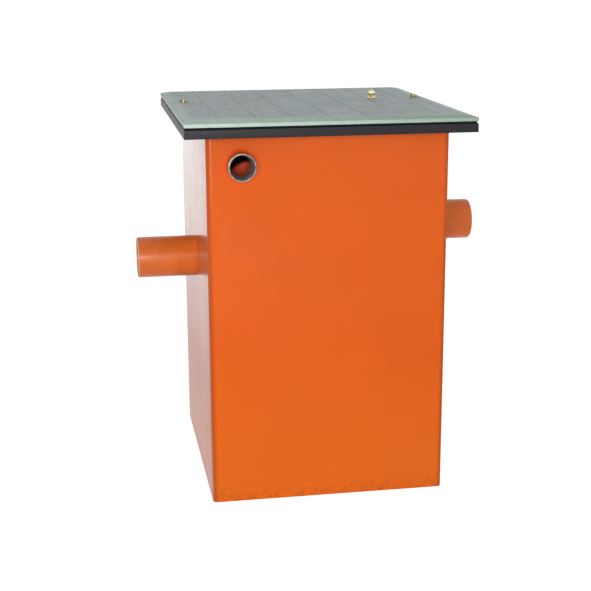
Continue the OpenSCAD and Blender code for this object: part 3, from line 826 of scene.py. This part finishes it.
class TRAP_OT_frame(bpy.types.Operator):
    """Dark angle frame round the top of the walls, and its gasket"""

    bl_idname = "trap.frame"
    bl_label = "Top frame and gasket"

    def execute(self, context):
        sizes = context.scene.trap_sizes
        low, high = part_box("top_frame")
        shell = shell_box()[1]
        sheet = sizes.frame_sheet
        inward = shell[0] - sizes.wall - high[0]
        section = [
            (0.0, low[2], 0.0008),
            (0.0, high[2], 0.0018),
            (inward, high[2], 0.0008),
            (inward, high[2] - sheet, 0.0008),
            (-sheet, high[2] - sheet, 0.003),
            (-sheet, low[2], 0.0008),
        ]
        paint = finish(brushed_on_frame_paint)
        angle = solid("frame_angle", swept(eased(section, 0), high[0], high[1], 0.0012), paint)
        screws = [middle(f"lid_screw_{side}") for side in ("left", "right")]
        bored(angle, *((spot, UP_Z, 0.0053, -0.2, 0.2) for spot in screws))
        smooth(angle)
        placed(angle, "dark_frame", "top_frame")

        gasket_low, gasket_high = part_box("lid_gasket")
        tall = gasket_high[2] - gasket_low[2]
        strip = [
            (-0.001, gasket_low[2], 0.001),
            (0.0, gasket_low[2] + 0.5 * tall, 0.002),
            (-0.001, gasket_high[2], 0.001),
            (-0.019, gasket_high[2], 0.001),
            (-0.02, gasket_low[2] + 0.5 * tall, 0.002),
            (-0.019, gasket_low[2], 0.001),
        ]
        gasket = solid(
            "gasket_strip",
            swept(eased(strip, 0), gasket_high[0], gasket_high[1], 0.0012),
            finish(moulded_rubber),
        )
        placed(gasket, "black_rubber", "lid_gasket")
        return {"FINISHED"}


class TRAP_OT_lid(bpy.types.Operator):
    """Pan lid with a sloping margin, pressed seams and a return flange"""

    bl_idname = "trap.lid"
    bl_label = "Lid"

    def execute(self, context):
        sizes = context.scene.trap_sizes
        low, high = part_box("lid")
        half_x, half_y = high[0], high[1]
        run, lip = sizes.lid_run, sizes.lid_lip
        rise = high[2] - low[2] - lip
        ease = 0.0025
        margin = [0, 0.004, 0.012, 0.02, run - ease, run - 0.5 * ease, run]
        margin += [run + 0.5 * ease, run + ease]
        seams = [-half_x + i * half_x / 4 for i in range(1, 8)]
        half_seam = sizes.seam_width / 2

        def lines(half, inner):
            edge = [half - d for d in margin]
            return sorted({round(v, 6) for v in edge + [-v for v in edge] + inner})

        def gentle(span, parts):
            return [-span + 2 * span * i / parts for i in range(parts + 1)]

        across = [s + k * half_seam for s in seams for k in (-1.8, -0.6, 0.6, 1.8)]
        across += [s + 0.5 * half_x / 4 for s in seams[:-1]]
        end = half_y - run - 0.005
        along = [k * (end - d) for k in (-1, 1) for d in (0, 0.0015)] + gentle(end - 0.02, 12)
        xs, ys = lines(half_x, across), lines(half_y, along)

        def slope(inset):
            if inset < run - ease:
                return lip + rise * inset / run
            if inset > run + ease:
                return lip + rise
            t = (inset - run + ease) / (2 * ease)
            return lip + rise - rise * ease / run * (1 - t) ** 2

        def height(x, y):
            inset = min(half_x - abs(x), half_y - abs(y))
            up = slope(inset)
            if inset > run + ease:
                fade = min(1.0, (inset - run - ease) / 0.05)
                sag = math.sin(7.3 * x + 1.1) * math.cos(5.9 * y - 0.7) + math.sin(11 * y + 4 * x)
                up -= 0.0003 * fade * (1 + 0.5 * sag)
                near = min(abs(x - s) for s in seams)
                if abs(y) < end and near < 1.2 * half_seam:
                    up -= sizes.seam_depth
            return low[2] + up

        points, index, faces = [], {}, []
        for i, x in enumerate(xs):
            for j, y in enumerate(ys):
                index[i, j] = len(points)
                points.append(Vector((x, y, height(x, y))))
        for i in range(len(xs) - 1):
            for j in range(len(ys) - 1):
                a, b, c, d = index[i, j], index[i + 1, j], index[i + 1, j + 1], index[i, j + 1]
                cx, cy = (xs[i] + xs[i + 1]) / 2, (ys[j] + ys[j + 1]) / 2
                if abs((half_x - abs(cx)) - (half_y - abs(cy))) < 1e-6:
                    faces += [(a, b, c), (a, c, d)] if cx * cy > 0 else [(a, b, d), (b, c, d)]
                else:
                    faces.append((a, b, c, d))
        rim = [index[i, 0] for i in range(len(xs))]
        rim += [index[len(xs) - 1, j] for j in range(1, len(ys))]
        rim += [index[i, len(ys) - 1] for i in range(len(xs) - 2, -1, -1)]
        rim += [index[0, j] for j in range(len(ys) - 2, 0, -1)]
        rings = [rim]
        inner_x, inner_y = half_x - sizes.lid_return, half_y - sizes.lid_return
        for scale in (False, True):
            ring = []
            for k in rim:
                x, y = points[k].x, points[k].y
                if scale:
                    x = max(-inner_x, min(inner_x, x))
                    y = max(-inner_y, min(inner_y, y))
                ring.append(len(points))
                points.append(Vector((x, y, low[2])))
            rings.append(ring)
        for first, second in zip(rings, rings[1:]):
            for k in range(len(rim)):
                n = (k + 1) % len(rim)
                faces.append((first[k], first[n], second[n], second[k]))
        enamel = finish(enamelled_lid_sheet, half_x, half_y, run, fixing_spots())
        lid = solid("lid_pan", (points, faces), enamel)
        welded = lid.modifiers.new("weld", "WELD")
        welded.merge_threshold = 0.00001
        soft = lid.modifiers.new("soft_edges", "BEVEL")
        soft.width, soft.segments, soft.limit_method = 0.0012, 3, "ANGLE"
        soft.angle_limit = math.radians(50)
        sheet = lid.modifiers.new("sheet", "SOLIDIFY")
        sheet.thickness, sheet.offset = sizes.lid_sheet, -1
        settle(lid)
        holes = [(middle(f"lid_screw_{side}"), UP_Z, 0.0053, -0.2, 0.2) for side in ("left", "right")]
        bored(lid, *holes, (middle("lid_knob"), UP_Z, 0.0043, -0.2, 0.2))
        smooth(lid, 28)
        placed(lid, "grey_lid", "lid")
        return {"FINISHED"}


class TRAP_OT_fixings(bpy.types.Operator):
    """Brass lid screws with washers and slotted heads, and the turned lid knob"""

    bl_idname = "trap.fixings"
    bl_label = "Screws and knob"

    def execute(self, context):
        brass = finish(turned_brass)
        lid_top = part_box("lid")[1][2]
        for side in ("left", "right"):
            low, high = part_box(f"lid_screw_{side}")
            spot = middle(f"lid_screw_{side}")
            top = high[2] - lid_top
            outline = [
                (low[2] - lid_top, 0.0),
                (low[2] - lid_top, 0.005, 0.0008),
                (0.0, 0.005),
                (0.0, 0.011, 0.0004),
                (0.0018, 0.011, 0.0008),
                (0.0022, 0.009),
                (0.0026, 0.009, 0.0003),
                (top - 0.0018, 0.0088, 0.0018),
                (top, 0.006, 0.003),
                (top, 0.0),
            ]
            screw = solid(
                f"brass_screw_{side}",
                turned(eased(outline, 0), (spot[0], spot[1], lid_top), UP_Z, 64),
                finish(weathered_brass),
            )
            self.slotted(screw, spot, high[2])
            placed(screw, "brass", f"lid_screw_{side}")

        low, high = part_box("lid_knob")
        spot = middle("lid_knob")
        top = high[2] - lid_top
        radius = 0.009
        ball = [
            (top - radius + radius * math.sin(t), radius * math.cos(t))
            for t in (math.radians(a) for a in range(-52, 91, 4))
        ]
        outline = eased(
            [
                (low[2] - lid_top, 0.0),
                (low[2] - lid_top, 0.004, 0.0006),
                (0.0, 0.004),
                (0.0, 0.012, 0.0005),
                (0.0022, 0.012, 0.0012),
                (0.0032, 0.0075, 0.002),
                (0.0048, 0.0049, 0.002),
            ],
            0,
        ) + ball
        knob = solid("brass_knob", turned(outline, (spot[0], spot[1], lid_top), UP_Z), brass)
        placed(knob, "brass", "lid_knob")
        return {"FINISHED"}

    @staticmethod
    def slotted(screw, spot, top):
        """Cuts the driver slot across a head."""
        half, depth = 0.001, 0.0015
        corners = [
            (spot[0] + x, spot[1] + y, top + z)
            for x in (-0.02, 0.02)
            for y in (-half, half)
            for z in (-depth, 0.002)
        ]
        faces = [(0, 1, 3, 2), (4, 6, 7, 5), (0, 4, 5, 1), (2, 3, 7, 6), (0, 2, 6, 4), (1, 5, 7, 3)]
        cutter = solid("slot_cutter", (corners, faces), screw.data.materials[0])
        cut = screw.modifiers.new("slot", "BOOLEAN")
        cut.operation, cut.solver, cut.object = "DIFFERENCE", "EXACT", cutter
        settle(screw)
        bpy.data.objects.remove(cutter)
        smooth(screw)


class TRAP_OT_pipes(bpy.types.Operator):
    """Inlet and outlet drain pipes with chamfered sawn ends"""

    bl_idname = "trap.pipes"
    bl_label = "Drain pipes"

    def execute(self, context):
        sizes = context.scene.trap_sizes
        shell = shell_box()[1][0]
        for name, side in (("inlet", 1), ("outlet", -1)):
            low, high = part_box(f"{name}_pipe")
            near, far = sorted((abs(low[0]), abs(high[0])))
            outer = high[1]
            bore = outer - sizes.pipe_wall
            outline = [
                (side * near, bore, 0.0004),
                (side * near, outer - sizes.shoulder, 0.0004),
                (side * shell, outer - sizes.shoulder),
                (side * shell, outer, 0.0002),
                (side * (far - 0.0045), outer, 0.004),
                (side * far, outer - 0.0016, 0.0012),
                (side * far, bore, 0.0003),
            ]
            spot = middle(f"{name}_pipe")
            pipe = solid(
                f"{name}_drain_pipe",
                turned(eased(outline, 0), (0, spot[1], spot[2]), UP_X),
                finish(extruded_pipe),
                20,
            )
            pipe.data.materials.append(finish(sawn_pipe))
            for face in pipe.data.polygons:
                if abs(face.normal.x) > 0.3 and abs(abs(face.center.x) - shell) > 0.001:
                    face.material_index = 1
            placed(pipe, "pipe_plastic", f"{name}_pipe")
        return {"FINISHED"}


class TRAP_OT_vent(bpy.types.Operator):
    """Screwed vent socket with its weld bead, and the bend inside it"""

    bl_idname = "trap.vent"
    bl_label = "Vent socket and bend"

    def execute(self, context):
        sizes = context.scene.trap_sizes
        low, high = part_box("vent_socket")
        spot = middle("vent_socket")
        centre = (spot[0], 0, spot[2])
        wall = shell_box()[0][1]
        outer = (high[0] - low[0]) / 2 - 0.004
        bore, pitch = sizes.socket_bore, sizes.thread_pitch
        front, back = low[1], high[1]
        step = front + sizes.thread_length
        deep = 0.0013
        rings = 96
        mouth = front + 0.0045
        thread = [(step - 0.0005 - (step - mouth) * i / rings, bore) for i in range(rings + 1)]
        outline = eased(
            [
                (front + 0.004, bore, 0),
                (front, bore + 0.0028, 0.0004),
                (front, outer, 0.0012),
                (back, outer, 0.0012),
                (back, sizes.elbow_radius + 0.0003, 0.0003),
                (step, sizes.elbow_radius + 0.0003, 0),
                (step, bore, 0),
            ],
            0,
        ) + thread

        def cut(angle, along, radius):
            if abs(radius - bore) > 1e-6 or along < mouth - 0.0006 or along > step - 0.0004:
                return radius
            turn = (along / pitch + angle / (2 * math.pi)) % 1.0
            return bore + deep * (1 - abs(2 * turn - 1))

        socket = turned(outline, centre, UP_Y, shape=cut)
        bead = []
        for k in range(8):
            t = 2 * math.pi * k / 8
            bead.append((wall - 0.0012 + 0.0028 * math.sin(t), outer + 0.0012 + 0.0028 * math.cos(t)))

        def ripple(angle, along, radius):
            return radius + 0.0004 * math.sin(46 * angle + 1.4 * math.sin(3 * angle))

        weld = turned(bead, centre, UP_Y, 276, ripple)
        obj = solid("vent_socket_steel", joined(socket, weld), finish(zinc_plated_socket), 30)
        obj.data.materials.append(finish(oversprayed_socket, front))
        obj.data.materials.append(finish(cut_thread))
        for face in obj.data.polygons:
            reach = math.hypot(face.center.x - spot[0], face.center.z - spot[2])
            if reach > outer - 0.0008:
                face.material_index = 1
            elif reach < bore + deep:
                face.material_index = 2
        placed(obj, "socket_steel", "vent_socket")

        elbow_low, elbow_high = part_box("vent_elbow")
        bend = sizes.elbow_bend
        start = elbow_low[1]
        riser = elbow_high[1] - sizes.elbow_radius
        turn_y = riser - bend
        path = [(Vector((spot[0], start, spot[2])), 0.0)]
        for i in range(17):
            a = math.pi / 2 * i / 16
            path.append(
                (Vector((spot[0], turn_y + bend * math.sin(a), spot[2] + bend * (1 - math.cos(a)))), a)
            )
        path.append((Vector((spot[0], riser, elbow_high[2])), math.pi / 2))

        def tube(radius):
            loops = []
            for point, a in path:
                side = Vector((1, 0, 0))
                up = Vector((0, -math.sin(a), math.cos(a)))
                loops.append(
                    [
                        point + radius * (math.cos(t) * side + math.sin(t) * up)
                        for t in (2 * math.pi * k / 64 for k in range(64))
                    ]
                )
            return loops

        outside = tube(sizes.elbow_radius)
        inside = tube(sizes.elbow_radius - sizes.elbow_wall)
        elbow = solid(
            "vent_bend_plastic", skin(outside + inside[::-1], True), finish(extruded_pipe)
        )
        elbow.data.materials.append(finish(bend_with_painted_shade, (spot[0], start, spot[2])))
        for face in elbow.data.polygons:
            if face.index >= len(path) * 64:
                face.material_index = 1
        placed(elbow, "pipe_plastic", "vent_elbow")
        return {"FINISHED"}


class TRAP_OT_inside(bpy.types.Operator):
    """Finishes of the pieces inside the tank and under the lid"""

    bl_idname = "trap.inside"
    bl_label = "Finishes inside"

    def execute(self, context):
        sizes = context.scene.trap_sizes
        high = shell_box()[1]
        lid_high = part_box("lid")[1]
        makers = {
            "orange_tank": (powder_coated_steel, high[0], high[1], sizes.fold),
            "dark_frame": (brushed_on_frame_paint,),
            "grey_lid": (
                enamelled_lid_sheet,
                lid_high[0],
                lid_high[1],
                sizes.lid_run,
                fixing_spots(),
            ),
            "black_rubber": (moulded_rubber,),
            "brass": (turned_brass,),
            "pipe_plastic": (extruded_pipe,),
            "socket_steel": (zinc_plated_socket,),
            "bare_steel": (brushed_steel,),
        }
        slots = {row["node"]: row["material_slot"] for row in frame["record"]["subparts"]}
        for name, obj in frame["nodes"].items():
            if obj.hide_render:
                continue
            material = finish(*makers[slots[name]])
            for slot in obj.material_slots:
                slot.material = material
        return {"FINISHED"}


class TRAP_OT_stage(bpy.types.Operator):
    """Pale floor, soft lamps, white surroundings and the camera"""

    bl_idname = "trap.stage"
    bl_label = "Stage"

    def execute(self, context):
        scene = context.scene
        span = 400.0
        floor = solid(
            "stage_floor",
            (
                [(x, y, -0.0004) for x, y in ((-span, -span), (span, -span), (span, span), (-span, span))],
                [(0, 1, 2, 3)],
            ),
            self.pale_floor(),
        )
        self.surroundings(scene, 0.34)
        self.lamp("key_lamp", (-0.95, -3.7, 1.27), (0.0, 0.0, 0.6), 1.3, 1.3, 61)
        self.lamp("fill_lamp", (2.6, -2.6, 1.6), (0.0, 0.0, 0.5), 2.0, 1.6, 3)
        self.lamp("back_lamp", (2.4, 3.0, 1.3), (0.0, 0.0, 0.5), 1.6, 1.4, 20)
        # The camera's place and turn come from a fit to the photograph's corners
        place = Vector((-0.6079, -3.3944, 1.3417))
        turn, dip, roll = 0.16928, 0.25226, -0.00452
        ahead = Vector(
            (math.sin(turn) * math.cos(dip), math.cos(turn) * math.cos(dip), -math.sin(dip))
        )
        right = Vector((math.cos(turn), -math.sin(turn), 0.0))
        up = right.cross(ahead)
        right, up = (
            math.cos(roll) * right + math.sin(roll) * up,
            math.cos(roll) * up - math.sin(roll) * right,
        )
        data = bpy.data.cameras.new("stage_camera")
        data.sensor_fit, data.sensor_width, data.lens = "HORIZONTAL", 36.0, 77.42
        data.clip_end = 1000.0
        camera = bpy.data.objects.new("stage_camera", data)
        camera.matrix_world = Matrix(
            [[right[i], up[i], -ahead[i], place[i]] for i in range(3)] + [[0, 0, 0, 1]]
        )
        scene.collection.objects.link(camera)
        scene.camera = camera
        scene.view_settings.view_transform = "Standard"
        return {"FINISHED"}

    @staticmethod
    def seen(tree):
        """One where a ray comes from the camera, a mirror or a glass, else zero."""
        path = add(tree, "ShaderNodeLightPath").outputs
        both = add(
            tree,
            "ShaderNodeMath",
            {0: path["Is Camera Ray"], 1: path["Is Glossy Ray"]},
            operation="MAXIMUM",
        ).outputs[0]
        return add(
            tree,
            "ShaderNodeMath",
            {0: both, 1: path["Is Transmission Ray"]},
            operation="MAXIMUM",
        ).outputs[0]

    def pale_floor(self):
        """Matt white studio floor: it shows white to the eye and keeps a soft shadow."""
        material = bpy.data.materials.new("matt_white_floor")
        material.use_nodes = True
        tree = material.node_tree
        tree.nodes.clear()
        matt = add(tree, "ShaderNodeBsdfDiffuse", {"Color": linear("EDEDED")})
        glow = add(
            tree,
            "ShaderNodeMath",
            {0: self.seen(tree), 1: 0.76},
            operation="MULTIPLY",
        )
        white = add(tree, "ShaderNodeEmission", {"Strength": glow.outputs[0]})
        both = add(tree, "ShaderNodeAddShader", {0: matt.outputs[0], 1: white.outputs[0]})
        add(tree, "ShaderNodeOutputMaterial", {"Surface": both.outputs[0]})
        return material

    def surroundings(self, scene, strength):
        """White all round to the eye, at a lower strength on the object."""
        world = bpy.data.worlds.new("studio_white")
        scene.world = world
        world.use_nodes = True
        tree = world.node_tree
        tree.nodes.clear()
        level = add(
            tree,
            "ShaderNodeMapRange",
            {0: self.seen(tree), 1: 0.0, 2: 1.0, 3: strength, 4: 1.0},
        )
        light = add(tree, "ShaderNodeBackground", {"Strength": level.outputs[0]})
        light.inputs["Color"].default_value = (1.0, 1.0, 1.0, 1.0)
        add(tree, "ShaderNodeOutputWorld", {"Surface": light.outputs[0]})

    @staticmethod
    def lamp(name, place, aim, width, height, power):
        """A soft rectangular lamp."""
        data = bpy.data.lights.new(name, "AREA")
        data.shape, data.size, data.size_y, data.energy = "RECTANGLE", width, height, power
        obj = bpy.data.objects.new(name, data)
        obj.location = place
        facing = Vector(aim) - Vector(place)
        obj.rotation_euler = facing.to_track_quat("-Z", "Y").to_euler()
        bpy.context.scene.collection.objects.link(obj)


PIECES = (
    TRAP_OT_walls,
    TRAP_OT_frame,
    TRAP_OT_lid,
    TRAP_OT_fixings,
    TRAP_OT_pipes,
    TRAP_OT_vent,
    TRAP_OT_inside,
    TRAP_OT_stage,
)


class TRAP_PT_panel(bpy.types.Panel):
    """Lists the pieces, sizes and colours"""

    bl_idname = "TRAP_PT_panel"
    bl_label = "Grease trap"
    bl_space_type = "VIEW_3D"
    bl_region_type = "UI"
    bl_category = "Grease trap"

    def draw(self, context):
        for piece in PIECES:
            self.layout.operator(piece.bl_idname)
        for group in (context.scene.trap_sizes, context.scene.trap_colours):
            for name in group.bl_rna.properties.keys():
                if name not in ("rna_type", "name"):
                    self.layout.prop(group, name)


CLASSES = (TrapSizes, TrapColours, *PIECES, TRAP_PT_panel)


def register():
    for cls in CLASSES:
        bpy.utils.register_class(cls)
    bpy.types.Scene.trap_sizes = bpy.props.PointerProperty(type=TrapSizes)
    bpy.types.Scene.trap_colours = bpy.props.PointerProperty(type=TrapColours)


def unregister():
    del bpy.types.Scene.trap_colours
    del bpy.types.Scene.trap_sizes
    for cls in reversed(CLASSES):
        bpy.utils.unregister_class(cls)


def main():
    """Builds every piece and the stage."""
    register()
    bpy.ops.trap.walls()
    bpy.ops.trap.frame()
    bpy.ops.trap.lid()
    bpy.ops.trap.fixings()
    bpy.ops.trap.pipes()
    bpy.ops.trap.vent()
    bpy.ops.trap.inside()
    bpy.ops.trap.stage()


if __name__ == "__main__":
    main()
